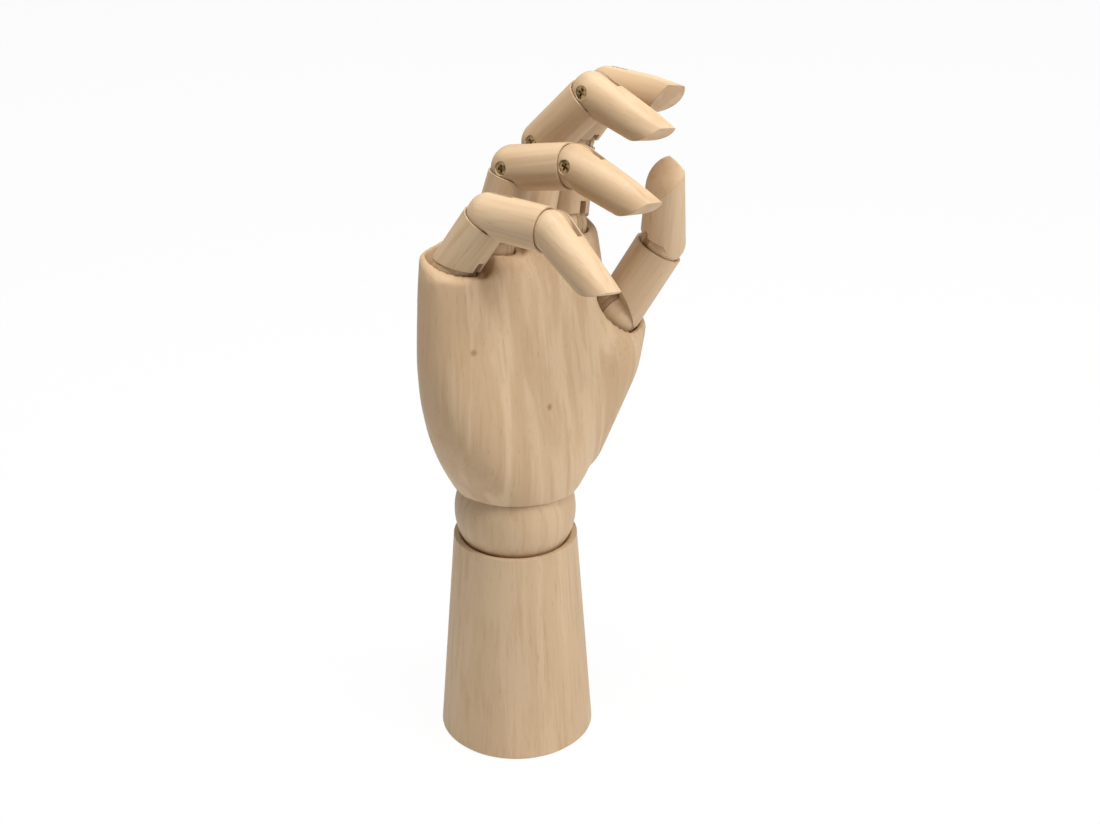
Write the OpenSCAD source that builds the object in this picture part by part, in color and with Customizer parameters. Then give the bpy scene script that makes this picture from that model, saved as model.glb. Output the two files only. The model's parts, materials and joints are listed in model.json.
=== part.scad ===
// Wooden hand mannequin: a right hand on a tapered forearm, its joints held by springs.
// Millimetres. The origin is the centre of the foot's underside, +Z is up, the palm
// faces -Y and the thumb is on +X. The hand is drawn as a loosely closed hand.

/* [Forearm] */
// diameter of the foot
foot_d = 61.9; // [45:0.5:90]
// diameter of the top
neck_d = 48.7; // [40:0.5:70]
// height from the foot to the rim
arm_h = 88.5; // [60:0.5:160]
// bevel around the foot's lower edge
foot_bevel = 1.0; // [0.2:0.1:3]
// bevel inside the rim
rim_bevel = 1.4; // [0.2:0.1:2.5]
// bore that the wrist spring runs through
arm_bore_d = 15.5; // [11:0.5:20]
// counterbore in the underside
foot_bore_d = 32; // [20:1:44]
// depth of that counterbore
foot_bore_depth = 12; // [6:0.5:25]

/* [Wrist] */
// diameter of the wrist ball
ball_d = 47.7; // [40:0.2:60]
// height of the ball's centre above the forearm's rim
ball_rise = 10.9; // [8:0.1:16]
// bore through the ball
ball_bore_d = 13; // [10:0.5:20]
// half angle of the flare at both ends of the bore
ball_flare = 26; // [10:1:35]
// backward tilt of the ball, as drawn
ball_tilt = -4; // [-20:0.5:20]
// lean of the palm to the thumb side, as drawn
palm_lean = 6; // [-20:0.5:20]

/* [Palm] */
// height of the heel's rim above the ball's centre
heel_rise = 8.8; // [7:0.1:14]
// wall around the ball at the heel's rim
heel_wall = 1.3; // [0.8:0.1:4]
// rows of height above the heel's rim, pinky side, thumb side and half thickness
palm_rows = [[4, 25.6, 27.6, 24.4], [14, 32.8, 35, 24.4], [26, 39.6, 41.8, 22.6],
    [41, 45, 46.4, 20.6], [57, 47.8, 47.4, 18.8], [75, 48.5, 44.5, 16.6], [90, 48, 39, 14.6]];
// squareness of those rows, 2 is an ellipse
palm_square = 2.5; // [2:0.1:4]
// slope of the knuckle sockets' rims, lower on the palm side
rim_slope = 22; // [0:1:35]
// height of those rims over the knuckles' centres
rim_rise = 1.5; // [0:0.1:4]
// wood around each knuckle socket
rim_wall = 3.9; // [2:0.1:6]
// rounding of the palm's upper edge
rim_round = 1.6; // [0.5:0.1:3]
// flare of the sockets above the knuckles' centres
socket_flare = 20; // [12:1:30]
// most bend of a knuckle, which the palm gives room for
knuckle_bend = 38; // [20:1:60]
// how much wider that room grows, as a half angle
swing_flare = 16; // [0:1:20]
// room around the bent finger there
swing_gap = 0.8; // [0.2:0.1:2]
// room between a knuckle and its socket
socket_gap = 0.35; // [0.2:0.05:0.6]

/* [Thumb socket] */
// tilt of the thumb socket's rim: forward and to the fingers
thumb_rim = [16, -17, 0]; // [-40:1:40]
// height of that rim over the thumb's centre
thumb_rim_rise = -3.6; // [-5:0.1:1]
// how much wider than the thumb's ball the palm is open above that rim
thumb_open = 0.9; // [0.2:0.1:2]
// how much wider that opening grows to its end
thumb_splay = 2; // [0:0.5:6]
// wood around the thumb's socket
thumb_wall = 1.8; // [1:0.1:4]
// radius of the thumb's mound
mound_r = 13.5; // [8:0.5:20]
// centre of the mound's foot
mound_foot = [26.3, -4, 22]; // [-60:0.5:60]
// middle of the mound's outer side
mound_bulge = [40.5, -7.5, 55]; // [-60:0.5:100]
// radius of the mound there
bulge_r = 15.3; // [8:0.5:20]
// centre of the mound's shoulder
mound_shoulder = [27, 6, 82]; // [-60:0.5:100]

/* [Fingers] */
// diameters of the finger pieces, from the knuckle out
finger_d = [17.8, 17.1, 16.3]; // [12:0.1:22]
// diameters of the pinky's pieces
pinky_d = [17.4, 16.6, 15.8]; // [12:0.1:22]
// diameters of the thumb's pieces
thumb_d = [19.6, 18]; // [12:0.1:22]
// pinky: hinge to hinge, and the last hinge to the tip
pinky_len = [25.3, 28.7, 32.2]; // [24:0.1:45]
// ring finger: the same lengths
ring_len = [31.1, 28, 34.8]; // [24:0.1:45]
// middle finger: the same lengths
middle_len = [33.7, 28.8, 34.6]; // [24:0.1:45]
// index finger: the same lengths
index_len = [33.2, 25.7, 33]; // [24:0.1:45]
// thumb: the same lengths
thumb_len = [34.9, 38.9]; // [24:0.1:50]
// knuckle centres above the wrist ball's centre: pinky
pinky_at = [-34, 0, 102]; // [-60:0.1:120]
// knuckle centre: ring finger
ring_at = [-14.3, 0.6, 106.8]; // [-60:0.1:120]
// knuckle centre: middle finger
middle_at = [5.4, 0.6, 110]; // [-60:0.1:120]
// knuckle centre: index finger
index_at = [25, 0.4, 109.4]; // [-60:0.1:120]
// knuckle centre: thumb
thumb_at = [46.9, -8.5, 72.2]; // [-60:0.1:120]
// taper of the last pieces, as a half angle
tip_taper = 3; // [0:0.1:5]
// radius of the bow under the fingertips
tip_bow_r = 18; // [14:0.5:30]
// slope of the flat on the back of the fingertips
nail_slope = 10; // [4:0.5:16]
// where that flat starts, as a share of the last piece
nail_start = 0.55; // [0.4:0.01:0.8]

/* [Pose as drawn] */
// pinky: lean and turn in the socket
pinky_set = [7.7, 6.9]; // [-15:0.1:15]
// pinky: bend at each hinge
pinky_bend = [32.7, 59.5, 35.6]; // [-20:0.1:70]
// ring finger: lean and turn
ring_set = [5.5, 6.9]; // [-15:0.1:15]
// ring finger: bends
ring_bend = [14.1, 66.8, 29.4]; // [-20:0.1:70]
// middle finger: lean and turn
middle_set = [6.1, 5.8]; // [-15:0.1:15]
// middle finger: bends
middle_bend = [5.8, 39, 66.3]; // [-20:0.1:70]
// index finger: lean and turn
index_set = [7.7, -1.7]; // [-15:0.1:15]
// index finger: bends
index_bend = [-2.1, 39.1, 53.1]; // [-20:0.1:70]
// thumb: how its socket faces
thumb_face = [-16.9, 25.2, -99.5]; // [-180:0.1:180]
// thumb: bends
thumb_bend = [0, 36.7]; // [-20:0.1:70]

/* [Hinges] */
// most bend of a finger hinge, which its notch gives room for
hinge_bend = 70; // [45:1:85]
// how far each rim stops short of the hinge's centre
rim_back = 3.0; // [2:0.1:5]
// room between a dome and its cup
cup_gap = 0.3; // [0.2:0.05:0.6]
// thickness of the wooden tongues
tongue_t = 2.6; // [1.6:0.1:4]
// half width of a tongue's glued foot
tongue_half = 5.2; // [3:0.1:7]
// depth of that foot below the cup
tongue_grip = 5.2; // [3:0.1:8]
// running room between a tongue and its slot
slot_gap = 0.2; // [0.1:0.05:0.4]
// how far each slot is cut beyond the tongue's round end
slot_over = 1.5; // [0.5:0.1:3]
// how far a tongue's round end stays under the surface
tongue_shy = 0.4; // [0.2:0.1:2]
// how much smaller the knuckles' domes are turned than their pieces
knuckle_step = 0.3; // [0.1:0.1:1]
// angle and rise of the notch under the finger knuckles
finger_mouth = [22, 1.8]; // [0:1:60]
// the same for the thumb
thumb_mouth = [46, 1.4]; // [0:1:60]

/* [Screws] */
// diameter of the screw's shank
shank_d = 3.0; // [2:0.1:4]
// diameter of its countersunk head
head_d = 4.9; // [4:0.1:7]
// height of the head's cone
head_h = 1.7; // [1:0.1:3]
// how deep the head's face sits
head_sink = 0.8; // [0.2:0.1:2]
// length of the cross slot
cross_l = 2.9; // [2:0.1:4]
// width of the cross slot
cross_w = 0.8; // [0.5:0.1:1.2]
// depth of the cross slot
cross_depth = 0.9; // [0.5:0.1:1.5]
// running room of a tongue on its screw
pivot_gap = 0.06; // [0.02:0.01:0.1]
// tight fit of what is glued or screwed in
snug_gap = 0.02; // [0.01:0.01:0.05]

/* [Springs] */
// wire of the eye screws
eye_wire = 1.3; // [0.8:0.1:2]
// radius of the eye, at the wire's centre
eye_r = 1.9; // [1.5:0.1:3]
// how far the eye's shank stands out under the knuckle
eye_drop = 1.2; // [0.8:0.1:3]
// wire of the finger springs
spring_wire = 1.2; // [0.8:0.1:1.6]
// radius of the finger springs, at the wire's centre
spring_r = 2.2; // [1.6:0.1:3]
// straight wire between a finger spring's eye and its coil
spring_neck = 1.6; // [0.5:0.1:4]
// share of a finger spring that is coiled
spring_share = 0.5; // [0.3:0.05:0.7]
// radius of the pocket around each eye
pocket_r = 5.4; // [4:0.1:7]
// wire of the gathering ring
gather_wire = 2.4; // [1.6:0.1:3]
// radius of the gathering ring
gather_r = 6.8; // [5:0.1:9]
// height of that ring above the wrist ball's centre
gather_z = 37; // [32:0.5:50]
// wire of the wrist spring
wrist_wire = 1.8; // [1.2:0.1:2.4]
// radius of the wrist spring, at the wire's centre
wrist_r = 4.0; // [3:0.1:6]
// length of its coiled part
wrist_coil = 52; // [30:1:90]
// diameter of the cross pin in the foot
pin_d = 3.4; // [2:0.1:5]

/* [Show] */
// one sub-part, or all of them

/* [Hidden] */
$fn = 48;
hull_fn = 28;
eps = 0.02;
slice = 0.4;
flat_run = 40;
coil_bite = 0.96;

ball_r = ball_d / 2;
ball_z = arm_h + ball_rise;
cup_r = ball_r + cup_gap;
heel_r = sqrt(cup_r * cup_r - heel_rise * heel_rise) + heel_wall;

// columns of a finger's record
AT = 0; FACE = 1; SET = 2; BEND = 3; LEN = 4; DIA = 5; MOUTH = 6; HOOK = 7; HEADS = 8; CROWN = 9;
// the last three: where the spring hooks on the gathering ring, in degrees, which side the screws' heads
// are on, 0 or 180, and whether the bow under the tip is crowned
pinky = [pinky_at, [0, 0, 0], pinky_set, pinky_bend, pinky_len, pinky_d, finger_mouth, 180, 180, false];
ring = [ring_at, [0, 0, 0], ring_set, ring_bend, ring_len, finger_d, finger_mouth, 130, 0, false];
middle = [middle_at, [0, 0, 0], middle_set, middle_bend, middle_len, finger_d, finger_mouth, 80, 0, false];
index = [index_at, [0, 0, 0], index_set, index_bend, index_len, finger_d, finger_mouth, 35, 0, false];
thumb = [thumb_at, thumb_face, [0, 0], thumb_bend, thumb_len, thumb_d, thumb_mouth, -15, 0, true];
rim_fingers = [pinky, ring, middle, index];
wrist_hook = 270;

wood = [0.87, 0.73, 0.56];
tongue_wood = [0.82, 0.67, 0.49];
bronze = [0.42, 0.31, 0.16];
steel = [0.62, 0.62, 0.64];

last = function (f) len(f[LEN]) - 1;
r_of = function (f, n) f[DIA][n] / 2;
socket_r = function (f) r_of(f, 0) + socket_gap;
cup_of = function (f, n) r_of(f, n) + cup_gap;
tongue_r = function (f, n) r_of(f, n) - tongue_shy;

eye_z = function (f) -(tongue_r(f, 0) + eye_drop + eye_r + eye_wire / 2);
eye_foot = function (f) eye_z(f) - eye_r;
loop_r = (gather_wire + spring_wire) / 2 + cup_gap;
wrist_loop_r = (gather_wire + wrist_wire) / 2 + cup_gap;
eye_loop_r = (eye_wire + spring_wire) / 2 + cup_gap;
pin_loop_r = (pin_d + wrist_wire) / 2 + cup_gap;
pin_z = foot_bore_depth - pin_d / 2 - snug_gap;
channel_r = spring_r + spring_wire / 2 + cup_gap;
room_r = gather_r + gather_wire / 2 + loop_r + spring_wire;

function turn_x(a, v) = [v[0], v[1] * cos(a) - v[2] * sin(a), v[1] * sin(a) + v[2] * cos(a)];
function turn_y(a, v) = [v[0] * cos(a) + v[2] * sin(a), v[1], v[2] * cos(a) - v[0] * sin(a)];
function turn_z(a, v) = [v[0] * cos(a) - v[1] * sin(a), v[0] * sin(a) + v[1] * cos(a), v[2]];
function faced(a, v) = turn_z(a[2], turn_y(a[1], turn_x(a[0], v)));
// a point of the socket's own frame, and of the leaning knuckle, in the palm's frame
function in_palm(f, v) = f[AT] + faced(f[FACE], turn_y(f[SET][0], v));
function hook_at(a) = [gather_r * cos(a), gather_r * sin(a), gather_z];
// the two ends of a finger spring's axis
function spring_head(f) = in_palm(f, [0, 0, eye_foot(f) - cup_gap - eye_loop_r]);
function spring_foot(f) = hook_at(f[HOOK]) + [0, 0, loop_r];
// a point of the palm's frame, in the part's frame
function palm_point(v) = [0, 0, ball_z] + turn_x(ball_tilt, turn_y(palm_lean, v));

// places

module on_ball() translate([0, 0, ball_z]) rotate([ball_tilt, 0, 0]) children();
module on_palm() on_ball() rotate([0, palm_lean, 0]) children();
module in_socket(f) translate(f[AT]) rotate(f[FACE]) children();
module on_eye(f) on_palm() in_socket(f) rotate([0, f[SET][0], 0]) children();
module on_knuckle(f) on_eye(f) rotate([0, 0, f[SET][1]]) children();
module on_piece(f, n) {
    if (n == 0) on_knuckle(f) rotate([f[BEND][0], 0, 0]) children();
    else on_piece(f, n - 1) translate([0, 0, f[LEN][n - 1]]) rotate([f[BEND][n], 0, 0]) children();
}

// shared shapes

// a child drawn along +Z, laid from point a towards point b
module along(a, b) {
    d = b - a;
    translate(a) rotate([0, acos(d[2] / norm(d)), atan2(d[1], d[0])]) children();
}

module ring_of(r, wire) rotate_extrude() translate([r, 0]) circle(d = wire);

// a close-wound coil with a hub across its first and its last turn, then straight wire to the end
module coil(coiled, end, r, wire) {
    pitch = wire * coil_bite;
    turns = floor((coiled - wire) / pitch);
    rotate_extrude() for (i = [0:turns]) translate([r, i * pitch]) circle(d = wire);
    for (i = [0, turns]) translate([0, 0, i * pitch - wire / 2]) cylinder(h = wire, r = r);
    translate([0, 0, turns * pitch]) cylinder(h = end - turns * pitch, d = wire);
}

// finger pieces, each drawn from its own hinge along +Z, palm side to -Y

module across_x(h, d1, d2) rotate([0, 90, 0]) cylinder(h = h, d1 = d1, d2 = d2);

module screw_room(r) {
    face = r - head_sink;
    translate([-face, 0, 0]) across_x(2 * face - head_sink, shank_d + 2 * snug_gap, shank_d + 2 * snug_gap);
    translate([-face, 0, 0]) across_x(head_h, head_d + 2 * snug_gap, shank_d + 2 * snug_gap);
    translate([-r - 1, 0, 0]) across_x(1 + head_sink, head_d + cup_gap, head_d + cup_gap);
}

module slot(r) translate([-tongue_t / 2 - slot_gap, -r - 1, -r - 1])
    cube([tongue_t + 2 * slot_gap, 2 * r + 2, 2 * r + 1 - tongue_shy + slot_over]);

// room on the palm side for the rim of the piece before, when fully bent
module hinge_notch(r, before_r) rotate([-hinge_bend, 0, 0])
    translate([0, 0, cup_gap - rim_back - flat_run]) cylinder(h = flat_run, r = before_r + cup_gap);

// the same for a knuckle, whose socket has a sloping rim
module knuckle_notch(mouth) rotate([-mouth[0], 0, 0])
    translate([0, 0, mouth[1] - flat_run]) cylinder(h = flat_run, r = flat_run / 2);

module tongue_pocket(reach, cup) {
    translate([0, 0, reach]) sphere(r = cup);
    translate([-tongue_t / 2 - snug_gap, -tongue_half - snug_gap, reach - cup - tongue_grip])
        cube([tongue_t + 2 * snug_gap, 2 * (tongue_half + snug_gap), cup]);
}

// dome, stem, slot and screw hole that every piece has
module stem(f, n, reach, taper) {
    r = r_of(f, n);
    dome_r = n == 0 ? r - knuckle_step : r;
    difference() {
        union() {
            cylinder(h = reach, r1 = r, r2 = r - reach * tan(taper));
            sphere(r = dome_r);
        }
        difference() {
            if (n == 0) knuckle_notch(f[MOUTH]); else hinge_notch(r, r_of(f, n - 1));
            sphere(r = dome_r);
        }
        slot(r);
        rotate([0, 0, f[HEADS]]) screw_room(r);
    }
}

module cupped_piece(f, n) difference() {
    stem(f, n, f[LEN][n] - rim_back, 0);
    tongue_pocket(f[LEN][n], cup_of(f, n + 1));
}

// height over the hinge where a fingertip's bow leaves its tapered side
function bow_foot(r, reach, edge) =
    let (k = tan(tip_taper), a = reach - tip_bow_r * sin(tip_taper), b = edge + r - tip_bow_r * cos(tip_taper))
    (a + b * k - sqrt(pow(a + b * k, 2) - (1 + k * k) * (a * a + b * b - tip_bow_r * tip_bow_r))) / (1 + k * k);

// a fingertip: tapered, with a flat on its back and a bow cut up from the palm side to meet it
module tip_piece(f) {
    n = last(f);
    r = r_of(f, n);
    reach = f[LEN][n];
    flat_z = nail_start * reach;
    flat_y = r - flat_z * tan(tip_taper);
    edge = flat_y - (reach - flat_z) * tan(nail_slope);
    foot = bow_foot(r, reach, edge);
    intersection() {
        difference() {
            stem(f, n, reach, tip_taper);
            translate([0, flat_y, flat_z]) rotate([nail_slope, 0, 0]) translate([-flat_run / 2, 0, -flat_run / 4])
                cube(flat_run);
        }
        union() {
            translate([0, tip_bow_r * cos(tip_taper) - r + foot * tan(tip_taper), foot + tip_bow_r * sin(tip_taper)])
                if (f[CROWN]) sphere(r = tip_bow_r); else translate([-flat_run / 2, 0, 0])
                    across_x(flat_run, 2 * tip_bow_r, 2 * tip_bow_r);
            translate([0, 0, -flat_run / 2]) cylinder(h = flat_run / 2 + foot, r = flat_run / 2);
        }
    }
}

module piece(f, n) color(wood) on_piece(f, n) {
    if (n == last(f)) tip_piece(f); else cupped_piece(f, n);
}

// the glued strip that carries the next piece's hinge
module tongue(f, n) color(tongue_wood) on_piece(f, n) translate([0, 0, f[LEN][n]]) difference() {
    foot = cup_of(f, n + 1) + tongue_grip - snug_gap;
    union() {
        translate([-tongue_t / 2, -tongue_half, -foot]) cube([tongue_t, 2 * tongue_half, foot]);
        translate([-tongue_t / 2, 0, 0]) across_x(tongue_t, 2 * tongue_r(f, n + 1), 2 * tongue_r(f, n + 1));
    }
    translate([-tongue_t, 0, 0]) across_x(2 * tongue_t, shank_d + 2 * pivot_gap, shank_d + 2 * pivot_gap);
}

// the round strip in the knuckle, which the eye screw pulls on
module knuckle(f) color(tongue_wood) on_knuckle(f) difference() {
    translate([-tongue_t / 2, 0, 0]) across_x(tongue_t, 2 * tongue_r(f, 0), 2 * tongue_r(f, 0));
    translate([-tongue_t, 0, 0]) across_x(2 * tongue_t, shank_d + 2 * pivot_gap, shank_d + 2 * pivot_gap);
    translate([0, 0, -tongue_r(f, 0) - 1])
        cylinder(h = tongue_r(f, 0) + 1 - shank_d, d = eye_wire + 2 * pivot_gap);
}

module screw(f, n) color(bronze) on_piece(f, n) rotate([0, 0, f[HEADS]]) {
    r = r_of(f, n);
    face = r - head_sink;
    difference() {
        union() {
            translate([-face, 0, 0]) across_x(2 * face - 2 * head_sink, shank_d, shank_d);
            translate([-face, 0, 0]) across_x(head_h, head_d, shank_d);
        }
        for (a = [0, 90]) rotate([a, 0, 0]) translate([-face - eps, -cross_l / 2, -cross_w / 2])
            cube([cross_depth + eps, cross_l, cross_w]);
    }
}

module eye_screw(f) color(steel) on_eye(f) {
    top = -shank_d - eye_wire;
    translate([0, 0, eye_z(f) + eye_r]) cylinder(h = top - eye_z(f) - eye_r, d = eye_wire);
    translate([0, 0, eye_z(f)]) rotate([90, 0, 0]) ring_of(eye_r, eye_wire);
}

module finger_spring(f) color(steel) on_palm() {
    span = norm(spring_foot(f) - spring_head(f));
    translate(in_palm(f, [0, 0, eye_foot(f) - cup_gap])) rotate(f[FACE]) rotate([0, f[SET][0], 0])
        rotate([0, 90, 0]) ring_of(eye_loop_r, spring_wire);
    along(spring_head(f), spring_foot(f)) {
        cylinder(h = spring_neck, d = spring_wire);
        translate([0, 0, spring_neck]) coil(span * spring_share, span - spring_neck, spring_r, spring_wire);
    }
    translate(hook_at(f[HOOK])) rotate([0, 0, f[HOOK]]) rotate([90, 0, 0]) ring_of(loop_r, spring_wire);
}

// forearm, wrist and palm

module forearm() color(wood) difference() {
    union() {
        cylinder(h = foot_bevel, d1 = foot_d - 2 * foot_bevel, d2 = foot_d);
        translate([0, 0, foot_bevel]) cylinder(h = arm_h - foot_bevel, d1 = foot_d, d2 = neck_d);
    }
    translate([0, 0, ball_z]) sphere(r = cup_r);
    rim_r = sqrt(cup_r * cup_r - ball_rise * ball_rise);
    translate([0, 0, arm_h - rim_bevel]) cylinder(h = rim_bevel + eps, r1 = rim_r - rim_bevel, r2 = rim_r + rim_bevel / 2);
    translate([0, 0, foot_bore_depth - eps]) cylinder(h = arm_h, d = arm_bore_d);
    translate([0, 0, -1]) cylinder(h = foot_bore_depth + 1, d = foot_bore_d);
}

module base_pin() color(steel)
    translate([cup_gap - foot_bore_d / 2 + 1, 0, pin_z]) across_x(foot_bore_d - 2 - 2 * cup_gap, pin_d, pin_d);

module wrist_spring() color(steel) {
    start = pin_z + pin_loop_r;
    top = palm_point(hook_at(wrist_hook) - [0, 0, wrist_loop_r]);
    translate([0, 0, pin_z]) rotate([0, 90, 0]) ring_of(pin_loop_r, wrist_wire);
    along([0, 0, start], top) coil(wrist_coil, norm(top - [0, 0, start]), wrist_r, wrist_wire);
    on_palm() translate(hook_at(wrist_hook)) rotate([0, 0, wrist_hook]) rotate([90, 0, 0])
        ring_of(wrist_loop_r, wrist_wire);
}

module wrist_ball() color(wood) on_ball() {
    flare_h = ball_r;
    difference() {
        sphere(r = ball_r);
        cylinder(h = 2 * ball_d, d = ball_bore_d, center = true);
        for (m = [0, 1]) mirror([0, 0, m]) translate([0, 0, 0])
            cylinder(h = flare_h, d1 = ball_bore_d, d2 = ball_bore_d + 2 * flare_h * tan(ball_flare));
    }
}

module gather_ring() color(steel) on_palm() translate([0, 0, gather_z]) ring_of(gather_r, gather_wire);

function sign_pow(v, p) = sign(v) * pow(abs(v), p);
// one row of the palm: pinky side, thumb side and half thickness
function row_outline(row) = [for (i = [0:hull_fn - 1]) let (a = 360 * i / hull_fn)
    [(row[2] - row[1]) / 2 + (row[1] + row[2]) / 2 * sign_pow(cos(a), 2 / palm_square),
        row[3] * sign_pow(sin(a), 2 / palm_square)]];

module palm_body() hull() {
    translate([0, 0, heel_rise]) cylinder(h = slice, r = heel_r, $fn = 2 * hull_fn);
    for (row = palm_rows) translate([0, 0, heel_rise + row[0]]) linear_extrude(slice) polygon(row_outline(row));
    for (f = rim_fingers) translate(f[AT]) rotate([rim_slope, 0, 0]) {
        translate([0, 0, rim_rise - slice]) cylinder(h = slice, r = socket_r(f) + rim_wall - rim_round, $fn = hull_fn);
        translate([0, 0, rim_rise - rim_round]) cylinder(h = slice, r = socket_r(f) + rim_wall, $fn = hull_fn);
    }
}

module thumb_mound() hull() {
    translate(thumb_at) rotate(thumb_rim) {
        translate([0, 0, thumb_rim_rise - slice]) cylinder(h = slice, r = socket_r(thumb) + thumb_wall - 1, $fn = hull_fn);
        translate([0, 0, thumb_rim_rise - 2 * rim_round])
            cylinder(h = slice, r = socket_r(thumb) + thumb_wall, $fn = hull_fn);
    }
    translate(mound_foot) sphere(r = mound_r, $fn = hull_fn);
    translate(mound_bulge) sphere(r = bulge_r, $fn = hull_fn);
    translate(mound_shoulder) sphere(r = mound_r, $fn = hull_fn);
}

module socket_bore(f) {
    pocket_l = 2 * eye_loop_r + cup_gap - eye_foot(f);
    in_socket(f) rotate([0, 0, 90]) {
        sphere(r = socket_r(f));
        translate([0, 0, -pocket_l]) cylinder(h = pocket_l, r = pocket_r);
    }
    along(spring_head(f), spring_foot(f)) rotate([0, 0, 60]) {
        cylinder(h = norm(spring_foot(f) - spring_head(f)), r = channel_r);
        cylinder(h = 1.5 * pocket_r, r1 = pocket_r - eye_wire / 2, r2 = channel_r - snug_gap);
    }
}

// room for a finger that is bent forward at its knuckle
module swing_room(f) in_socket(f) rotate([0, f[SET][0], 0]) rotate([knuckle_bend, 0, f[SET][1]]) intersection() {
    mouth = r_of(f, 0) + swing_gap;
    rotate([0, 0, 90]) cylinder(h = 2 * mouth, r1 = mouth, r2 = mouth * (1 + 2 * tan(swing_flare)));
    rotate([-f[MOUTH][0], 0, 0]) translate([0, 0, f[MOUTH][1] - swing_gap]) cylinder(h = flat_run, r = flat_run);
}

module palm() color(wood) on_palm() difference() {
    union() {
        palm_body();
        thumb_mound();
    }
    sphere(r = cup_r);
    translate([0, 0, ball_r - 2 * rim_round]) cylinder(h = gather_z + 2 * loop_r - ball_r + 2 * rim_round, r = room_r);
    for (f = rim_fingers) {
        socket_bore(f);
        swing_room(f);
        // turned, so that no seam lies where two flares meet
        translate(f[AT]) rotate([0, 0, 90])
            cylinder(h = flat_run / 2, r1 = socket_r(f), r2 = socket_r(f) + flat_run / 2 * tan(socket_flare));
    }
    socket_bore(thumb);
    translate(thumb_at) rotate(thumb_rim) translate([0, 0, thumb_rim_rise])
        cylinder(h = flat_run / 2, r1 = socket_r(thumb) + thumb_open, r2 = socket_r(thumb) + thumb_open + thumb_splay);
}

// named sub-parts

module pinky_proximal() piece(pinky, 0);
module pinky_middle() piece(pinky, 1);
module pinky_distal() piece(pinky, 2);
module ring_proximal() piece(ring, 0);
module ring_middle() piece(ring, 1);
module ring_distal() piece(ring, 2);
module middle_proximal() piece(middle, 0);
module middle_middle() piece(middle, 1);
module middle_distal() piece(middle, 2);
module index_proximal() piece(index, 0);
module index_middle() piece(index, 1);
module index_distal() piece(index, 2);
module thumb_proximal() piece(thumb, 0);
module thumb_distal() piece(thumb, 1);

module pinky_middle_tongue() tongue(pinky, 0);
module pinky_distal_tongue() tongue(pinky, 1);
module ring_middle_tongue() tongue(ring, 0);
module ring_distal_tongue() tongue(ring, 1);
module middle_middle_tongue() tongue(middle, 0);
module middle_distal_tongue() tongue(middle, 1);
module index_middle_tongue() tongue(index, 0);
module index_distal_tongue() tongue(index, 1);
module thumb_distal_tongue() tongue(thumb, 0);

module pinky_knuckle() knuckle(pinky);
module ring_knuckle() knuckle(ring);
module middle_knuckle() knuckle(middle);
module index_knuckle() knuckle(index);
module thumb_knuckle() knuckle(thumb);

module pinky_knuckle_screw() screw(pinky, 0);
module pinky_middle_screw() screw(pinky, 1);
module pinky_distal_screw() screw(pinky, 2);
module ring_knuckle_screw() screw(ring, 0);
module ring_middle_screw() screw(ring, 1);
module ring_distal_screw() screw(ring, 2);
module middle_knuckle_screw() screw(middle, 0);
module middle_middle_screw() screw(middle, 1);
module middle_distal_screw() screw(middle, 2);
module index_knuckle_screw() screw(index, 0);
module index_middle_screw() screw(index, 1);
module index_distal_screw() screw(index, 2);
module thumb_knuckle_screw() screw(thumb, 0);
module thumb_distal_screw() screw(thumb, 1);

module pinky_eye_screw() eye_screw(pinky);
module ring_eye_screw() eye_screw(ring);
module middle_eye_screw() eye_screw(middle);
module index_eye_screw() eye_screw(index);
module thumb_eye_screw() eye_screw(thumb);

module pinky_spring() finger_spring(pinky);
module ring_spring() finger_spring(ring);
module middle_spring() finger_spring(middle);
module index_spring() finger_spring(index);
module thumb_spring() finger_spring(thumb);

forearm();
base_pin();
wrist_spring();
wrist_ball();
palm();
gather_ring();
pinky_eye_screw();
pinky_knuckle();
pinky_knuckle_screw();
pinky_proximal();
pinky_middle_tongue();
pinky_middle_screw();
pinky_middle();
pinky_distal_tongue();
pinky_distal_screw();
pinky_distal();
ring_eye_screw();
ring_knuckle();
ring_knuckle_screw();
ring_proximal();
ring_middle_tongue();
ring_middle_screw();
ring_middle();
ring_distal_tongue();
ring_distal_screw();
ring_distal();
middle_eye_screw();
middle_knuckle();
middle_knuckle_screw();
middle_proximal();
middle_middle_tongue();
middle_middle_screw();
middle_middle();
middle_distal_tongue();
middle_distal_screw();
middle_distal();
index_eye_screw();
index_knuckle();
index_knuckle_screw();
index_proximal();
index_middle_tongue();
index_middle_screw();
index_middle();
index_distal_tongue();
index_distal_screw();
index_distal();
thumb_eye_screw();
thumb_knuckle();
thumb_knuckle_screw();
thumb_proximal();
thumb_distal_tongue();
thumb_distal_screw();
thumb_distal();
pinky_spring();
ring_spring();
middle_spring();
index_spring();
thumb_spring();
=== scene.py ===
"""Studio view of the wooden hand mannequin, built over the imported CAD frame.

The turned pieces, screws and springs keep their CAD shapes and get wood and metal of their
own. The palm is shown by a copy of its CAD shape whose flat facets are sanded round.
"""

import json  # noqa: E402
import logging  # noqa: E402
import math  # noqa: E402
from dataclasses import dataclass  # noqa: E402
from enum import Enum  # noqa: E402

import bmesh  # noqa: E402
import bpy  # noqa: E402
from mathutils import Matrix, Vector  # noqa: E402

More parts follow.
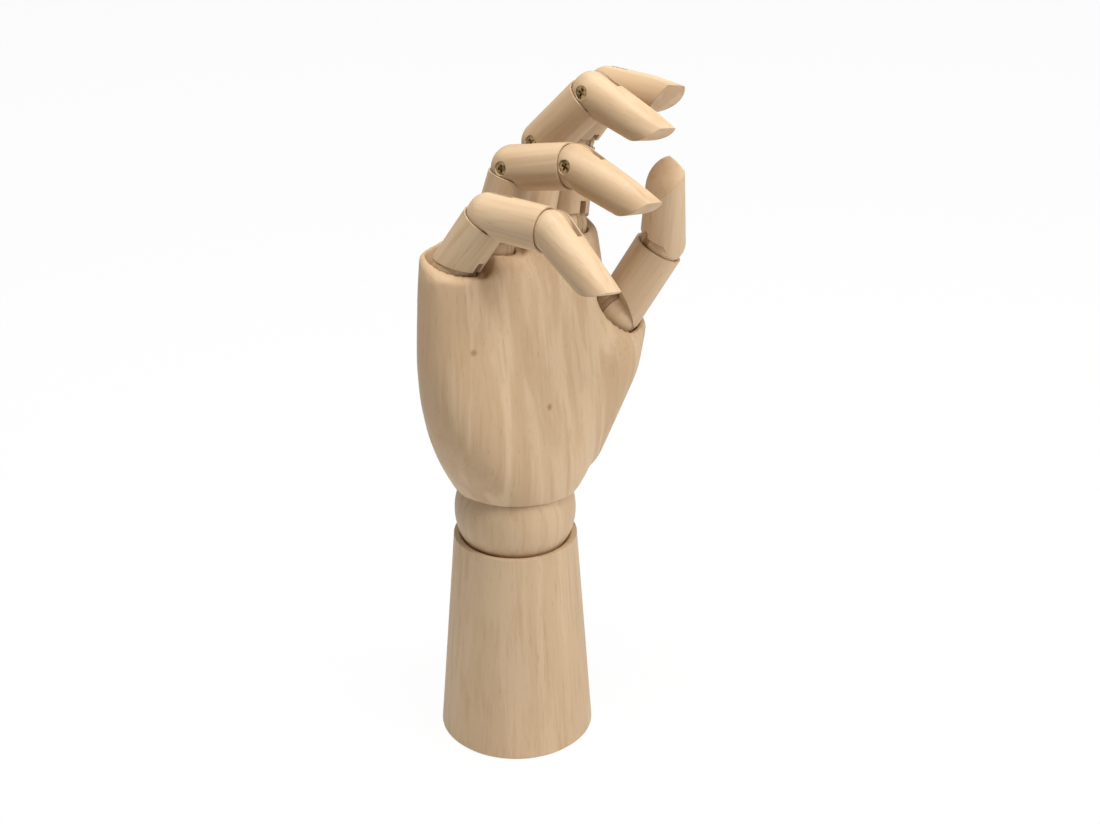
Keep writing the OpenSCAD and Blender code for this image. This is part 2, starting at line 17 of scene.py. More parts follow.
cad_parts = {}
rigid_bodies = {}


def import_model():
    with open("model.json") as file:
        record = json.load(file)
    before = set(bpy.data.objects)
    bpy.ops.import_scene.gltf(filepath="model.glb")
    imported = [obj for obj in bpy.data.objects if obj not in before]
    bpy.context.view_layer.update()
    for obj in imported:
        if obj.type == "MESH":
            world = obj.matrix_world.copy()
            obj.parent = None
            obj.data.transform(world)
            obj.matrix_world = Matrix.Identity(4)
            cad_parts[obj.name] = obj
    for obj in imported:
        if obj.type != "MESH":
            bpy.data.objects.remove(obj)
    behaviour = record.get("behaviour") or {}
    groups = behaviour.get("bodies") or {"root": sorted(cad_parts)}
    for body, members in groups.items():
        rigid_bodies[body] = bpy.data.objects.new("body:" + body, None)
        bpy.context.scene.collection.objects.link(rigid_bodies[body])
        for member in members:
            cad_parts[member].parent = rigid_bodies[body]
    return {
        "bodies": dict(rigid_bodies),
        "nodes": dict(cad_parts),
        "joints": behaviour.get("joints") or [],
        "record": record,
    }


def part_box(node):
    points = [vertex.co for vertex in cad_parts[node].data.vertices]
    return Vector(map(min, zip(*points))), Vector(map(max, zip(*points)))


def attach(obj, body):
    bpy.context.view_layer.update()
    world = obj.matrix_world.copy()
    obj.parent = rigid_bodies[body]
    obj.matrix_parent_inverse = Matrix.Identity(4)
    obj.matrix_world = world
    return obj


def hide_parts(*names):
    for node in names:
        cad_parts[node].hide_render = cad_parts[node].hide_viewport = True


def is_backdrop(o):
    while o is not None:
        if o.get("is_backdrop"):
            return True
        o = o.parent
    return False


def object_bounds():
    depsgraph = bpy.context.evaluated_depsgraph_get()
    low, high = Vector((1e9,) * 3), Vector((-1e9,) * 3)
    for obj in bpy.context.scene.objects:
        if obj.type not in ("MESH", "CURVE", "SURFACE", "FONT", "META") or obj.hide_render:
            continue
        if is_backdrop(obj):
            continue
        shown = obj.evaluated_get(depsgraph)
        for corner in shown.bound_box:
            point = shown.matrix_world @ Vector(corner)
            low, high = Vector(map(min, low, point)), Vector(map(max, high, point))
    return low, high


LOG = logging.getLogger("hand")
Pair = tuple[float, float]
Triple = tuple[float, float, float]
Socketed = "Value | float | Triple"

UP: Triple = (0.0, 0.0, 1.0)
WHITE: Triple = (1.0, 1.0, 1.0)


class Value:
    """A shader socket that can be added, multiplied and fed on."""

    def __init__(self, shader: "Shader", socket: bpy.types.NodeSocket) -> None:
        """Wraps one output socket.

        Args:
            shader: The material that the socket lives in.
            socket: The output socket.
        """
        self.shader = shader
        self.socket = socket

    def math(self, operation: str, first: Socketed, second: Socketed) -> "Value":
        """Adds a Math node.

        Args:
            operation: The node's operation.
            first: The first operand.
            second: The second operand.

        Returns:
            The result.
        """
        settings = {"operation": operation}
        return self.shader.node("ShaderNodeMath", settings, {0: first, 1: second})

    def __add__(self, other: Socketed) -> "Value":
        """Returns the sum."""
        return self.math("ADD", self, other)

    def __rsub__(self, other: Socketed) -> "Value":
        """Returns the difference, turned round."""
        return self.math("SUBTRACT", other, self)

    def __mul__(self, other: Socketed) -> "Value":
        """Returns the product."""
        return self.math("MULTIPLY", self, other)

    def clamped(self) -> "Value":
        """Returns the value kept between 0 and 1."""
        return self.math("MINIMUM", self.math("MAXIMUM", self, 0.0), 1.0)

    def ramp(self, low: float, high: float) -> "Value":
        """Maps low..high to a smooth 0..1.

        Args:
            low: The value that gives 0.
            high: The value that gives 1.

        Returns:
            The mapped value.
        """
        return self.shader.node(
            "ShaderNodeMapRange",
            {"interpolation_type": "SMOOTHSTEP"},
            {"Value": self, "From Min": low, "From Max": high},
            out="Result",
        )


class Shader:
    """The node tree of one material or world under construction.

    Attributes:
        SKEW: How much further the shift goes along each next axis of a frame.
        MIX_INPUTS: Places of the Mix node's factor and two colours among its inputs.
        MIX_OUTPUT: Place of its mixed colour among its outputs.
    """

    SKEW = 0.4
    MIX_INPUTS = (0, 6, 7)
    MIX_OUTPUT = 2

    def __init__(self, owner: bpy.types.Material | bpy.types.World) -> None:
        """Starts on an owner's own tree.

        Args:
            owner: The material or world.
        """
        owner.use_nodes = True
        self.owner = owner
        self.tree = owner.node_tree

    @classmethod
    def material(cls, name: str) -> "Shader":
        """Starts a new material.

        Args:
            name: Its name.

        Returns:
            The shader.
        """
        return cls(bpy.data.materials.new(name))

    def plug(self, socket: bpy.types.NodeSocket, value: Socketed) -> None:
        """Links a value to an input, or sets it there when it is plain.

        Args:
            socket: The input.
            value: What goes in.
        """
        if isinstance(value, Value):
            self.tree.links.new(value.socket, socket)
        elif isinstance(value, tuple) and socket.type == "RGBA":
            socket.default_value = (*value, 1.0)
        else:
            socket.default_value = value

    def node(
        self,
        kind: str,
        settings: dict[str, object] | None = None,
        sockets: dict[str | int, Socketed] | None = None,
        out: str | int = 0,
    ) -> Value:
        """Adds one node.

        Args:
            kind: The node's type.
            settings: Its own settings, which are set first.
            sockets: The values or links of its inputs.
            out: The output that is returned.

        Returns:
            The chosen output.
        """
        node = self.tree.nodes.new(kind)
        for name, setting in (settings or {}).items():
            setattr(node, name, setting)
        for name, value in (sockets or {}).items():
            self.plug(node.inputs[name], value)
        return Value(self, node.outputs[out])

    def principled(self, **inputs: Socketed) -> None:
        """Sets inputs of the Principled shader.

        Args:
            **inputs: What goes in, with underscores for the spaces in the inputs' names.
        """
        node = self.tree.nodes["Principled BSDF"]
        for name, value in inputs.items():
            self.plug(node.inputs[name.replace("_", " ")], value)

    def surface(self, shader: Value) -> None:
        """Shows a shader on the material's surface.

        Args:
            shader: The shader's output.
        """
        self.plug(self.tree.nodes["Material Output"].inputs["Surface"], shader)

    def here(self) -> Value:
        """Returns the Object coordinates."""
        return self.node("ShaderNodeTexCoord", out="Object")

    def vector(self, operation: str, first: Value, second: Socketed) -> Value:
        """Measures two vectors against each other.

        Args:
            operation: The Vector Math node's operation.
            first: The first vector.
            second: The second vector.

        Returns:
            The measure.
        """
        settings = {"operation": operation}
        sockets = {0: first, 1: second}
        return self.node("ShaderNodeVectorMath", settings, sockets, out="Value")

    def dot(self, first: Value, second: Socketed) -> Value:
        """Returns the dot product of two vectors."""
        return self.vector("DOT_PRODUCT", first, second)

    def distance(self, first: Value, second: Socketed) -> Value:
        """Returns the distance between two points."""
        return self.vector("DISTANCE", first, second)

    def frame(self, axes: Matrix, stretch: Triple, shift: float) -> Value:
        """Turns the Object coordinates into a piece's own axes and scales them.

        Args:
            axes: Rows are the piece's two crosswise directions and its grain's.
            stretch: The factor along each of them, per metre.
            shift: What is added to each, so that no two pieces share a pattern.

        Returns:
            The vector.
        """
        here = self.here()
        parts = {
            row: self.dot(here, tuple(axes[row])) * stretch[row] + shift * (1.0 + self.SKEW * row)
            for row in range(3)
        }
        return self.node("ShaderNodeCombineXYZ", sockets=parts, out="Vector")

    def noise(
        self,
        at: Value,
        detail: float,
        rough: float = 0.5,
        twist: float = 0.0,
        scale: float = 1.0,
    ) -> Value:
        """Adds a noise texture.

        Args:
            at: Where it is sampled.
            detail: How many octaves it has.
            rough: How strong the finer octaves are.
            twist: How much it is distorted.
            scale: Its scale.

        Returns:
            The noise, about 0 to 1.
        """
        sockets = {
            "Vector": at,
            "Scale": scale,
            "Detail": detail,
            "Roughness": rough,
            "Distortion": twist,
        }
        return self.node("ShaderNodeTexNoise", sockets=sockets)

    def mix(
        self, factor: Socketed, first: Socketed, second: Socketed, blend: str = "MIX"
    ) -> Value:
        """Mixes two colours.

        Args:
            factor: How much of the second.
            first: The first colour.
            second: The second colour.
            blend: How they are mixed.

        Returns:
            The mixed colour.
        """
        settings = {"data_type": "RGBA", "blend_type": blend}
        sockets = dict(zip(self.MIX_INPUTS, (factor, first, second)))
        return self.node("ShaderNodeMix", settings, sockets, out=self.MIX_OUTPUT)

    def bump(
        self, height: Value, strength: float, distance: float, normal: Value | None = None
    ) -> Value:
        """Turns a height into a normal.

        Args:
            height: The height, about 0 to 1.
            strength: The bump's strength.
            distance: What a height of 1 means, in metres.
            normal: The normal that it is laid on.

        Returns:
            The normal.
        """
        sockets = {"Strength": strength, "Distance": distance, "Height": height}
        if normal is not None:
            sockets["Normal"] = normal
        return self.node("ShaderNodeBump", sockets=sockets, out="Normal")


class Timber(Enum):
    """Colours of the two kinds of piece: pale ground, warm band, dark pore and painted edge
    highlight.
    """

    # The last colour of each is the painted highlight laid on the rounded rims.
    TURNED = (
        (0.600, 0.438, 0.278),
        (0.480, 0.318, 0.182),
        (0.270, 0.155, 0.080),
        (0.780, 0.640, 0.440),
    )
    TONGUE = (
        (0.460, 0.315, 0.185),
        (0.390, 0.250, 0.140),
        (0.210, 0.125, 0.065),
        (0.560, 0.410, 0.260),
    )


@dataclass(frozen=True)
class Layer:
    """One layer of the wood's pattern: a noise that is drawn out along the grain.

    Attributes:
        stretch: The noise's scale in the two crosswise directions and the grain's, per metre.
        detail: How many octaves it has.
        rough: How strong the finer octaves are.
        twist: How much it is distorted.
        span: The noise that shows none of the layer's colour, and the noise that shows most.
        tint: How much of the colour that is, or None where each piece has its own share.
    """

    stretch: Triple
    detail: float
    rough: float = 0.5
    twist: float = 0.0
    span: Pair = (0.0, 1.0)
    tint: float | None = None

    def noise(self, shader: Shader, axes: Matrix, seed: float) -> Value:
        """Adds the layer's noise to a material.

        Args:
            shader: The material.
            axes: The piece's own axes.
            seed: What sets the piece's pattern apart.

        Returns:
            The noise.
        """
        at = shader.frame(axes, self.stretch, seed)
        return shader.noise(at, self.detail, self.rough, self.twist)


class Grain(Enum):
    """The layers of the wood's pattern."""

    BANDS = Layer((110.0, 70.0, 7.0), 3.0, 0.5, 0.5, (0.42, 0.58))
    STREAKS = Layer((430.0, 300.0, 11.0), 4.0, 0.55, 0.2, (0.48, 0.70), 0.50)
    FIBRES = Layer((1500.0, 1300.0, 36.0), 3.0, 0.6, 0.0, (0.52, 0.78), 0.24)
    TICKS = Layer((1250.0, 1250.0, 150.0), 2.0, 0.5, 0.0, (0.66, 0.78), 0.30)
    CLOUDS = Layer((26.0, 26.0, 14.0), 2.0)


@dataclass(frozen=True)
class Finish:
    """What the sanded surfaces of all wooden pieces share.

    Attributes:
        edge_samples: How many rays look for an edge.
        edge_turn: How far the normal turns, as one minus the cosine, where the painted edge
            highlight starts and where it is full.
        edge_tint: How much of the painted highlight's colour an edge takes.
        knot_reach: Distances from a knot's middle where it is darkest and where it ends, in
            metres.
        knot_tint: How much of the pores' colour a knot takes.
        knot_wave: How far the fibres pull its outline, in metres.
        shade: The shade where there is no cloud, and what a whole cloud adds.
        gloss: The roughness where there is no streak, and what a whole streak adds.
        shine: The specular level.
        fibre_height: Height of the fibres in the relief.
        streak_height: Height of the streaks in the relief.
        relief_strength: The relief's strength.
        relief_depth: The relief's depth, in metres.
    """

    edge_samples: int = 4
    edge_turn: Pair = (0.02, 0.22)
    edge_tint: float = 0.55
    knot_reach: Pair = (0.0009, 0.0024)
    knot_tint: float = 0.75
    knot_wave: float = 0.0012
    shade: Pair = (0.87, 0.24)
    gloss: Pair = (0.46, 0.16)
    shine: float = 0.30
    fibre_height: float = 0.6
    streak_height: float = 0.4
    relief_strength: float = 0.22
    relief_depth: float = 0.00012


@dataclass(frozen=True)
class Wood:
    """Unfinished, sanded wood, cut one way.

    Attributes:
        timber: Its colours.
        along: The direction of the grain.
        seed: What sets this piece's pattern apart.
        pale: How pale the piece is, 1 is the timber itself.
        warm: How much of the warm band it takes.
        ease: How far its edges are rounded, in the normal and the painted highlight, in metres.
        knots: Where pin knots show, in metres.
        finish: How its surface is sanded.
        steep: How near to the Y axis the grain may run before X helps to find its axes.
    """

    timber: Timber
    along: Triple
    seed: float
    pale: float = 1.0
    warm: float = 0.5
    ease: float = 0.00035
    knots: tuple[Triple, ...] = ()
    finish: Finish = Finish()
    steep: float = 0.8

    def axes(self) -> Matrix:
        """Returns rows of two crosswise directions and the grain's."""
        third = Vector(self.along).normalized()
        helper = (0.0, 1.0, 0.0) if abs(third.y) < self.steep else (1.0, 0.0, 0.0)
        first = Vector(helper).cross(third).normalized()
        return Matrix((first, third.cross(first), third))

    def pattern(self, shader: Shader, noises: dict[Grain, Value]) -> Value:
        """Paints the grain and the pin knots.

        Args:
            shader: The material.
            noises: The noise of each layer.

        Returns:
            The colour.
        """
        finish = self.finish
        ground, band, pore, _ = self.timber.value
        dyes = {Grain.BANDS: band, Grain.STREAKS: band, Grain.FIBRES: pore, Grain.TICKS: pore}
        colour = ground
        for grain, dye in dyes.items():
            layer = grain.value
            tint = self.warm if layer.tint is None else layer.tint
            colour = shader.mix(noises[grain].ramp(*layer.span) * tint, colour, dye)
        for knot in self.knots:
            wave = noises[Grain.FIBRES] * finish.knot_wave
            offset = shader.distance(shader.here(), knot) + wave
            inside = 1.0 - offset.ramp(*finish.knot_reach)
            colour = shader.mix(inside * finish.knot_tint, colour, pore)
        return colour

    def material(self, name: str) -> bpy.types.Material:
        """Makes the material: grain, painted edge highlights, shade and relief.

        Args:
            name: The material's name.

        Returns:
            The material.
        """
        finish = self.finish
        shader = Shader.material(name)
        axes = self.axes()
        noises = {grain: grain.value.noise(shader, axes, self.seed) for grain in Grain}
        colour = self.pattern(shader, noises)
        settings = {"samples": finish.edge_samples}
        eased = shader.node("ShaderNodeBevel", settings, {"Radius": self.ease}, out="Normal")
        flat = shader.node("ShaderNodeNewGeometry", out="Normal")
        # Painted highlight: the rims take a lighter colour where the rounded normal turns away
        # from the flat one.
        edge = (1.0 - shader.dot(eased, flat)).ramp(*finish.edge_turn)
        edge_highlight_colour = self.timber.value[-1]
        colour = shader.mix(edge * finish.edge_tint, colour, edge_highlight_colour)
        plain, cloudy = finish.shade
        shade = (noises[Grain.CLOUDS] * cloudy + plain) * self.pale
        shades = {channel: shade for channel in range(3)}
        grey = shader.node("ShaderNodeCombineXYZ", sockets=shades, out="Vector")
        fibres, streaks = noises[Grain.FIBRES], noises[Grain.STREAKS]
        height = fibres * finish.fibre_height + streaks * finish.streak_height
        smooth, streaky = finish.gloss
        shader.principled(
            Base_Color=shader.mix(1.0, colour, grey, "MULTIPLY"),
            Roughness=streaks * streaky + smooth,
            Specular_IOR_Level=finish.shine,
            Normal=shader.bump(height, finish.relief_strength, finish.relief_depth, eased),
        )
        return shader.owner


@dataclass(frozen=True)
class Metal:
    """Worn metal.

    Attributes:
        bright: Its clean colour.
        dull: Its tarnished colour.
        rough: Its mean roughness.
        stain_scale: How fine the stains are, per metre.
        stain_span: The noise that is clean, and the noise that is fully tarnished.
        stain_rough: How much rougher a whole stain is than clean metal.
        clean_rough: How much smoother clean metal is than the mean.
        grit_scale: How fine the grit of its relief is, per metre.
        grit_strength: The relief's strength.
        grit_depth: The relief's depth, in metres.
    """

    bright: Triple
    dull: Triple
    rough: float
    stain_scale: float = 420.0
    stain_span: Pair = (0.38, 0.62)
    stain_rough: float = 0.22
    clean_rough: float = 0.1
    grit_scale: float = 2600.0
    grit_strength: float = 0.12
    grit_depth: float = 0.00004

    def material(self, name: str) -> bpy.types.Material:
        """Makes the finish.

        Args:
            name: The material's name.

        Returns:
            The material.
        """
        shader = Shader.material(name)
        here = shader.here()
        stain = shader.noise(here, 4.0, 0.6, scale=self.stain_scale)
        grit = shader.noise(here, 2.0, scale=self.grit_scale)
        shader.principled(
            Base_Color=shader.mix(stain.ramp(*self.stain_span), self.bright, self.dull),
            Metallic=1.0,
            Roughness=stain * self.stain_rough + (self.rough - self.clean_rough),
            Normal=shader.bump(grit, self.grit_strength, self.grit_depth),
        )
        return shader.owner


class Fitting(Enum):
    """Finishes of the metal fittings, by the record's material slot."""

    STEEL = Metal((0.62, 0.62, 0.61), (0.42, 0.41, 0.39), 0.34)
    BRONZE = Metal((0.400, 0.265, 0.120), (0.085, 0.055, 0.030), 0.42)


@dataclass
class Hand:
    """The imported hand: its nodes, slots, bodies and hinge points.

    Attributes:
        nodes: CAD node name to object.
        slots: CAD node name to the record's material slot.
        bodies: CAD node name to the body that it rides on.
        pivots: Body name to the point that it turns about, in metres.
        fittings: Material slot to the metal finish that its pieces share.
    """

    nodes: dict[str, bpy.types.Object]
    slots: dict[str, str]
    bodies: dict[str, str]
    pivots: dict[str, Vector]
    fittings: dict[str, bpy.types.Material]

    @classmethod
    def packed(cls, frame: dict) -> "Hand":
        """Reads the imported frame.


        Returns:
            The hand.
        """
        record = frame["record"]
        riders = record["behaviour"]["bodies"]
        bodies = {node: body for body, nodes in riders.items() for node in nodes}
        slots = {part["node"]: part["material_slot"] for part in record["subparts"]}
        pivots = {joint["child"]: Vector(joint["pos_m"]) for joint in frame["joints"]}
        metals = {kind.name.lower(): kind.value for kind in Fitting}
        fittings = {slot: metal.material(f"fitting_{slot}") for slot, metal in metals.items()}
        return cls(frame["nodes"], slots, bodies, pivots, fittings)

    def middle(self, node: str) -> Vector:
        """Finds the middle of a node's box.

        Args:
            node: The node's name.

        Returns:
            The middle, in metres.
        """
        low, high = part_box(node)
        return (low + high) / 2

    def wear(self, piece: bpy.types.Object, material: bpy.types.Material) -> None:
        """Gives a piece one material.

        Args:
            piece: The piece.
            material: The material.
        """
        piece.data.materials.clear()
        piece.data.materials.append(material)

    def dress(self, node: str, wood: Wood) -> None:
        """Gives a node its wood, or the metal of its slot.

        Args:
            node: The node's name.
            wood: The wood that it is made of, if it is wooden.
        """
        slot = self.slots[node]
        finish = self.fittings.get(slot) or wood.material(f"{slot}_{node}")
        self.wear(self.nodes[node], finish)
        LOG.info("%s: %s", node, slot)


@dataclass
class Wrist:
    """Forearm, wrist ball, and the pin and spring inside them.

    Attributes:
        parts: The nodes, in order from the foot.
        seed: Sets the grain's pattern apart.
        step: How far apart the parts' patterns are.
        warm: How much of the warm band they take.
    """

    parts: tuple[str, ...] = ("forearm", "base_pin", "wrist_spring", "wrist_ball")
    seed: float = 3.1
    step: float = 2.3
    warm: float = 0.35

    def dress(self, hand: Hand) -> None:
        """Gives the parts their finish, with the grain running up the arm.

        Args:
            hand: The hand.
        """
        for place, node in enumerate(self.parts):
            seed = self.seed + self.step * place
            hand.dress(node, Wood(Timber.TURNED, UP, seed, warm=self.warm))


@dataclass
class Palm:
    """The palm, sanded round, and the ring inside it.

    The copy is remeshed evenly, then smoothed everywhere but at the rims of its sockets
    and of its heel, which stay where the fingers and the ball need them.

    Attributes:
        weld: How near points are that become one, in metres.
        voxel: The size of the new mesh's faces, in metres.
        passes: How often the open skin is smoothed.
        pull: How far each pass moves a point towards its neighbours' middle.
        socket_keep: Distances from a socket's centre where smoothing starts and is full.
        heel_keep: The same from the ball's centre.
        tiers: How many steps the smoothing fades in.
        along: The direction of the grain.
        seed: Sets the grain's pattern apart.
        warm: How much of the warm band it takes.
        knots: Where pin knots show, in metres.
    """

    weld: float = 2e-6
    voxel: float = 0.00080
    passes: int = 90
    pull: float = 0.5
    socket_keep: Pair = (0.0150, 0.0215)
    heel_keep: Pair = (0.0255, 0.0290)
    tiers: int = 6
    along: Triple = (0.04, 0.0, 1.0)
    seed: float = 11.7
    warm: float = 0.62
    knots: tuple[Triple, ...] = ((-0.0287, -0.0082, 0.1767), (0.0010, -0.0179, 0.1480))

    def remeshed(self, source: bpy.types.Object) -> bpy.types.Mesh:
        """Makes an even mesh of the CAD shape.

        Args:
            source: The CAD node's object.

        Returns:
            The new mesh.
        """
        work = bpy.data.meshes.new("palm_welded")
        mesh = bmesh.new()
        mesh.from_mesh(source.data)
        bmesh.ops.remove_doubles(mesh, verts=mesh.verts, dist=self.weld)
        mesh.to_mesh(work)
        mesh.free()
        temporary = bpy.data.objects.new("palm_work", work)
        bpy.context.scene.collection.objects.link(temporary)
        remesh = temporary.modifiers.new("even", "REMESH")
        remesh.mode = "VOXEL"
        remesh.voxel_size = self.voxel
        bpy.context.view_layer.update()
        seen = temporary.evaluated_get(bpy.context.evaluated_depsgraph_get())
        even = bpy.data.meshes.new_from_object(seen)
        even.name = "palm_sanded"
        bpy.data.objects.remove(temporary)
        bpy.data.meshes.remove(work)
        return even

    def freedom(self, point: Vector, hand: Hand) -> float:
        """Says how much a point may move.

        Args:
            point: The point, in metres.
            hand: The hand, whose pivots are the sockets' centres.

        Returns:
            0 at the rims, 1 on the open skin.
        """
        sockets = [at for body, at in hand.pivots.items() if body.endswith("_eye")]
        near = min((point - socket).length for socket in sockets)
        heel = (point - hand.pivots["palm"]).length
        weights = [
            (reach - keep[0]) / (keep[1] - keep[0])
            for reach, keep in ((near, self.socket_keep), (heel, self.heel_keep))
        ]
        return max(0.0, min(1.0, *weights))

    def sand(self, skin: bpy.types.Mesh, hand: Hand) -> None:
        """Smooths the skin in passes, fewer of them near the rims.

        Args:
            skin: The even mesh.
            hand: The hand.
        """
        mesh = bmesh.new()
        mesh.from_mesh(skin)
        weights = {vert: self.freedom(vert.co, hand) for vert in mesh.verts}
        every_way = {"use_axis_x": True, "use_axis_y": True, "use_axis_z": True}
        for tier in range(self.tiers):
            loose = [vert for vert, weight in weights.items() if weight > tier / self.tiers]
            for _ in range(self.passes // self.tiers):
                bmesh.ops.smooth_vert(mesh, verts=loose, factor=self.pull, **every_way)
        for face in mesh.faces:
            face.smooth = True
        mesh.to_mesh(skin)
        mesh.free()

    def dress(self, hand: Hand) -> None:
        """Builds the sanded palm in place of its CAD node and gives the ring its metal.

        Args:
            hand: The hand.
        """
        wood = Wood(Timber.TURNED, self.along, self.seed, warm=self.warm, knots=self.knots)
        hand.dress("gather_ring", wood)
        hand.dress("palm", wood)
        even = self.remeshed(hand.nodes["palm"])
        self.sand(even, hand)
        skin = bpy.data.objects.new("palm_sanded", even)
        bpy.context.scene.collection.objects.link(skin)
        hand.wear(skin, hand.nodes["palm"].data.materials[0])
        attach(skin, hand.bodies["palm"])
        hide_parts("palm")
        LOG.info("palm_sanded: %d faces", len(even.polygons))


@dataclass
class Finger:
    """One finger or the thumb, with its screws and spring.

    Attributes:
        name: The finger's name, which its nodes start with.
        seed: Sets the grain's pattern apart.
        pale: How pale its wood is.
        warm: How much of the warm band it takes.
        step: How far apart its parts' patterns are.
        sway: How much paler or darker than the finger a part can be.
        beat: The angle from one part to the next along that sway, in radians.
        fade: How much of the warm band a part loses for being paler.
        short: How near to its hinge a part's middle may lie before its grain runs straight up,
            in metres.
    """

    name: str
    seed: float
    pale: float
    warm: float
    step: float = 4.9
    sway: float = 0.04
    beat: float = 2.1
    fade: float = 3.0
    short: float = 0.004

    def along(self, node: str, hand: Hand) -> Triple:
        """Finds the direction that a piece runs in, from its hinge to its middle.

        Args:
            node: The piece's node.
            hand: The hand.

        Returns:
            The direction.
        """
        way = hand.middle(node) - hand.pivots[hand.bodies[node]]
        return tuple(way.normalized()) if way.length > self.short else UP

    def dress(self, hand: Hand) -> None:
        """Gives the finger's parts their finish, each with its own grain.

        Args:
            hand: The hand.
        """
        parts = sorted(node for node in hand.nodes if node.startswith(f"{self.name}_"))
        for place, node in enumerate(parts):
            shift = self.sway * math.sin(self.beat * place + self.seed)
            wood = Wood(
                timber=Timber.TURNED if hand.slots[node] == "wood" else Timber.TONGUE,
                along=self.along(node, hand),
                seed=self.seed + self.step * place,
                pale=self.pale + shift,
                warm=self.warm - self.fade * shift,
            )
            hand.dress(node, wood)


@dataclass(frozen=True)
class Lamp:
    """One soft studio light.

    Attributes:
        name: Its name.
        at: Where it hangs, in metres.
        size: Its width and height, in metres.
        watts: Its power.
        colour: Its tint.
    """

    name: str
    at: Triple
    size: Pair
    watts: float
    colour: Triple

    def hang(self, target: Vector) -> None:
        """Adds the light.

        Args:
            target: The point that it is aimed at, in metres.
        """
        data = bpy.data.lights.new(self.name, "AREA")
        data.shape = "RECTANGLE"
        data.size, data.size_y = self.size
        data.energy = self.watts
        data.color = self.colour
        lamp = bpy.data.objects.new(self.name, data)
        bpy.context.scene.collection.objects.link(lamp)
        lamp.location = self.at
        lamp.rotation_euler = (target - lamp.location).to_track_quat("-Z", "Y").to_euler()


@dataclass(frozen=True)
class Camera:
    """The camera of the photograph.

    Attributes:
        away: Its horizontal distance from the forearm's axis, in metres.
        height: Its height over the foot, in metres.
        azimuth: Its direction round that axis, in degrees.
        pitch: How far it looks down, in degrees.
        yaw: How far it is turned aside, in degrees.
        lens: Its focal length, in picture widths.
        sensor: Its sensor's width, in millimetres.
        near: The distance where it starts to see, in metres.
    """

    away: float = 0.6278
    height: float = 0.4398
    azimuth: float = -45.21
    pitch: float = 25.5
    yaw: float = -1.25
    lens: float = 1811.0 / 1100.0
    sensor: float = 36.0
    near: float = 0.01

    def place(self) -> None:
        """Adds the camera and makes it the scene's."""
        data = bpy.data.cameras.new("camera")
        data.sensor_fit = "HORIZONTAL"
        data.sensor_width = self.sensor
        data.lens = self.sensor * self.lens
        data.clip_start = self.near
        camera = bpy.data.objects.new("camera", data)
        bpy.context.scene.collection.objects.link(camera)
        turn = math.radians(self.azimuth)
        tilt = math.radians(90.0 - self.pitch)
        aside = math.radians(self.azimuth + self.yaw)
        camera.location = (math.sin(turn) * self.away, -math.cos(turn) * self.away, self.height)
        camera.rotation_euler = (tilt, 0.0, aside)
        bpy.context.scene.camera = camera


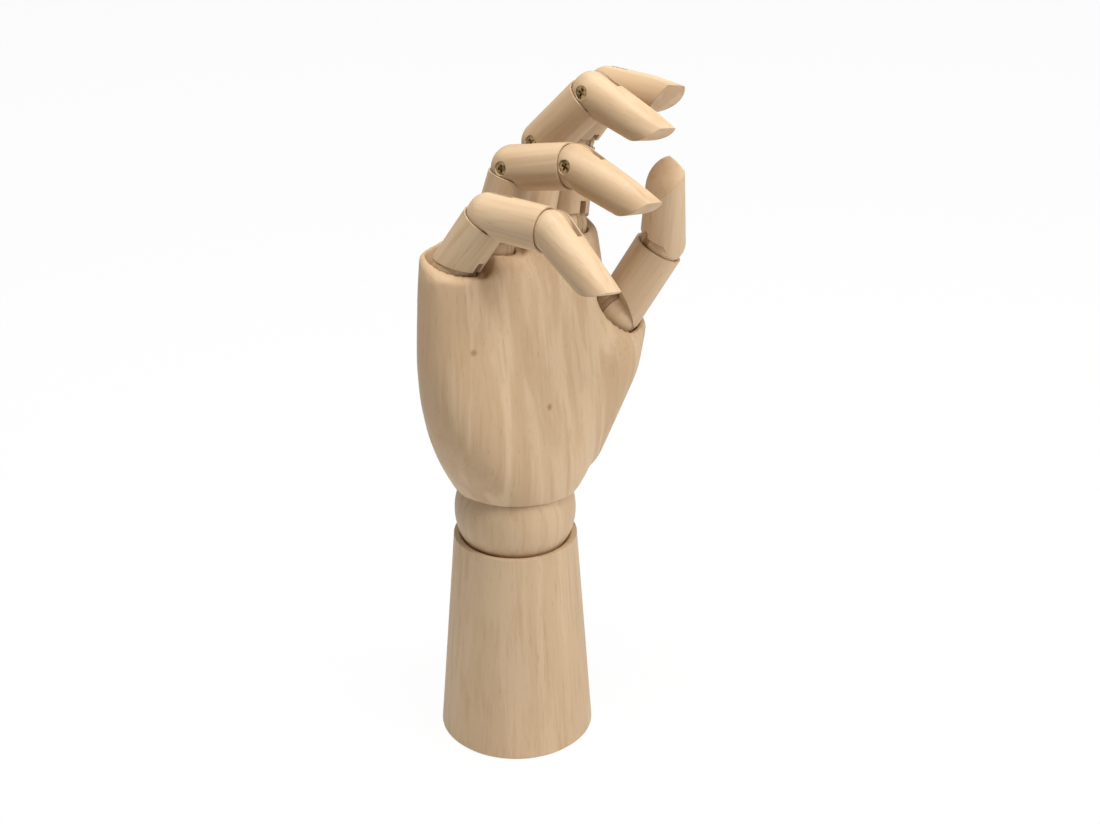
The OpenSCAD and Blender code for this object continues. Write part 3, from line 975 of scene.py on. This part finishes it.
@dataclass
class Studio:
    """White surround, pale floor and soft lights.

    Attributes:
        floor_width: The floor's width, in metres.
        floor_colour: The floor's own colour.
        floor_rough: The floor's roughness.
        floor_shine: The floor's specular level.
        gap: How far the floor lies under the foot, in metres.
        level: How strongly the surround lights the hand.
        wash: How much of the floor's own white the camera sees.
        lamps: The lights.
    """

    floor_width: float = 6.0
    floor_colour: Triple = (0.93, 0.93, 0.93)
    floor_rough: float = 0.9
    floor_shine: float = 0.1
    gap: float = 0.0002
    level: float = 0.17
    wash: float = 0.95
    lamps: tuple[Lamp, ...] = (
        Lamp("key", (0.34, -0.92, 0.80), (0.55, 0.55), 7.0, (1.0, 0.985, 0.96)),
        Lamp("top", (-0.10, -0.12, 1.20), (0.6, 0.6), 13.5, (1.0, 0.99, 0.97)),
    )

    def seen(self, shader: Shader) -> Value:
        """Tells what the camera sees from what only lights the hand.

        Args:
            shader: The material or world.

        Returns:
            1 for rays of the camera, of reflections and through glass, and 0 for others.
        """
        kinds = ("Camera", "Glossy", "Transmission")
        rays = [shader.node("ShaderNodeLightPath", out=f"Is {kind} Ray") for kind in kinds]
        return (rays[0] + rays[1] + rays[2]).clamped()

    def surround(self) -> None:
        """Sets the white world."""
        world = bpy.data.worlds.new("surround")
        bpy.context.scene.world = world
        shader = Shader(world)
        background = shader.tree.nodes["Background"].inputs
        strength = self.seen(shader) * (1.0 - self.level) + self.level
        shader.plug(background["Color"], WHITE)
        shader.plug(background["Strength"], strength)

    def paint(self) -> bpy.types.Material:
        """Makes the floor's material.

        Returns:
            The material, which is mostly plain white to the camera.
        """
        shader = Shader.material("floor")
        shader.principled(
            Base_Color=self.floor_colour,
            Roughness=self.floor_rough,
            Specular_IOR_Level=self.floor_shine,
        )
        glow = {"Color": WHITE, "Strength": 1.0}
        white = shader.node("ShaderNodeEmission", sockets=glow)
        lit = Value(shader, shader.tree.nodes["Principled BSDF"].outputs["BSDF"])
        blend = {0: self.seen(shader) * self.wash, 1: lit, 2: white}
        shader.surface(shader.node("ShaderNodeMixShader", sockets=blend))
        return shader.owner

    def floor(self, low: Vector) -> None:
        """Adds the plain pale floor that the foot stands on.

        Args:
            low: The hand's lowest corner.
        """
        mesh = bmesh.new()
        bmesh.ops.create_grid(mesh, x_segments=1, y_segments=1, size=self.floor_width / 2)
        data = bpy.data.meshes.new("floor")
        mesh.to_mesh(data)
        mesh.free()
        floor = bpy.data.objects.new("floor", data)
        bpy.context.scene.collection.objects.link(floor)
        floor.location.z = low.z - self.gap
        data.materials.append(self.paint())
        floor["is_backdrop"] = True

    def build(self, low: Vector, high: Vector) -> None:
        """Sets up the stage round the hand.

        Args:
            low: The hand's lowest corner.
            high: Its highest corner.
        """
        for lamp in self.lamps:
            lamp.hang((low + high) / 2)
        self.floor(low)
        self.surround()
        bpy.context.scene.view_settings.view_transform = "Standard"


def main() -> None:
    """Builds the scene."""
    logging.basicConfig(level=logging.INFO, format="%(name)s: %(message)s")
    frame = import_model()
    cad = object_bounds()
    Camera().place()
    hand = Hand.packed(frame)
    pieces = (
        Wrist(),
        Palm(),
        Finger("pinky", seed=1.9, pale=0.97, warm=0.45),
        Finger("ring", seed=17.3, pale=1.00, warm=0.55),
        Finger("middle", seed=31.1, pale=1.01, warm=0.40),
        Finger("index", seed=43.7, pale=0.98, warm=0.60),
        Finger("thumb", seed=59.3, pale=1.03, warm=0.35),
    )
    for piece in pieces:
        piece.dress(hand)
    Studio().build(*cad)


if __name__ == "__main__":
    main()
